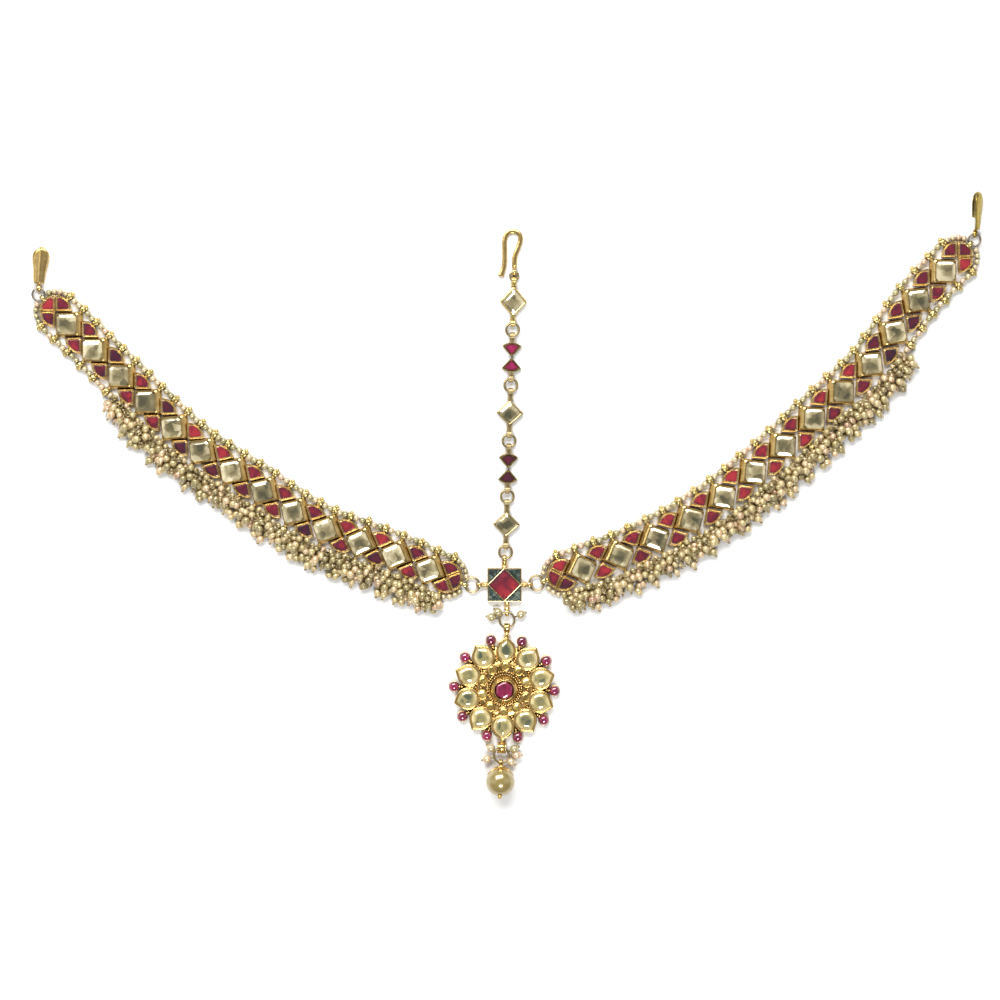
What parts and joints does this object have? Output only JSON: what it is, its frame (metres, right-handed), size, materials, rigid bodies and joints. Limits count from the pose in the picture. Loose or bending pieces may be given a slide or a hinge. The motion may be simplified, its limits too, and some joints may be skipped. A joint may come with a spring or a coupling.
{
  "type": "matha patti",
  "caption": "Indian head jewel: centre chain with hair hook, round pendant with pearl drop, and two side bands of square diamonds and fan rubies with pearl edges.",
  "frame": {"origin": "centre of the centre square's flat back, where it lies on the surface", "axes": "+X to the jewel's right as seen from its face, +Y up the centre chain, +Z off the surface through the face of the stones"},
  "size_m": [0.3048, 0.1938, 0.0094],
  "materials": {
    "gold": "polished warm yellow gold",
    "dark_gold": "worn, duller gold wire",
    "dark_steel": "darkened steel wire",
    "diamond": "flat cut diamond over foil in a gold setting",
    "ruby": "polished ruby over foil in a gold setting",
    "green_stone": "dark green corners about a red stone, in a gold setting",
    "pearl": "lustrous cream pearl",
    "gold_pearl": "lustrous golden pearl with a gold cap"
  },
  "bodies": {
    "root": {"hair_hook": "gold", "hook_ring": "dark_gold", "chain_ring_1": "dark_gold", "chain_ring_2": "dark_gold", "chain_ring_3": "dark_gold", "chain_ring_4": "dark_gold", "chain_ring_5": "dark_gold", "chain_diamond_1": "diamond", "chain_diamond_2": "diamond", "chain_diamond_3": "diamond", "chain_ruby_1": "ruby", "chain_ruby_2": "ruby", "centre_square": "green_stone", "pendant_ring": "dark_gold", "pendant": "gold", "drop_ring": "dark_gold", "drop_pearl": "gold_pearl", "left_diamond_01": "diamond", "left_diamond_02": "diamond", "left_diamond_03": "diamond", "left_diamond_04": "diamond", "left_diamond_05": "diamond", "left_diamond_06": "diamond", "left_diamond_07": "diamond", "left_diamond_08": "diamond", "left_diamond_09": "diamond", "left_diamond_10": "diamond", "left_diamond_11": "diamond", "left_diamond_12": "diamond", "left_diamond_13": "diamond", "left_upper_row": "ruby", "left_lower_row": "ruby", "left_fringe": "pearl", "left_inner_cap": "ruby", "left_outer_cap": "ruby", "left_joint_ring": "dark_gold", "left_end_ring": "dark_steel", "left_side_hook": "gold", "right_diamond_01": "diamond", "right_diamond_02": "diamond", "right_diamond_03": "diamond", "right_diamond_04": "diamond", "right_diamond_05": "diamond", "right_diamond_06": "diamond", "right_diamond_07": "diamond", "right_diamond_08": "diamond", "right_diamond_09": "diamond", "right_diamond_10": "diamond", "right_diamond_11": "diamond", "right_diamond_12": "diamond", "right_diamond_13": "diamond", "right_upper_row": "ruby", "right_lower_row": "ruby", "right_fringe": "pearl", "right_inner_cap": "ruby", "right_outer_cap": "ruby", "right_joint_ring": "dark_gold", "right_end_ring": "dark_steel", "right_side_hook": "gold"}
  },
  "joints": []
}
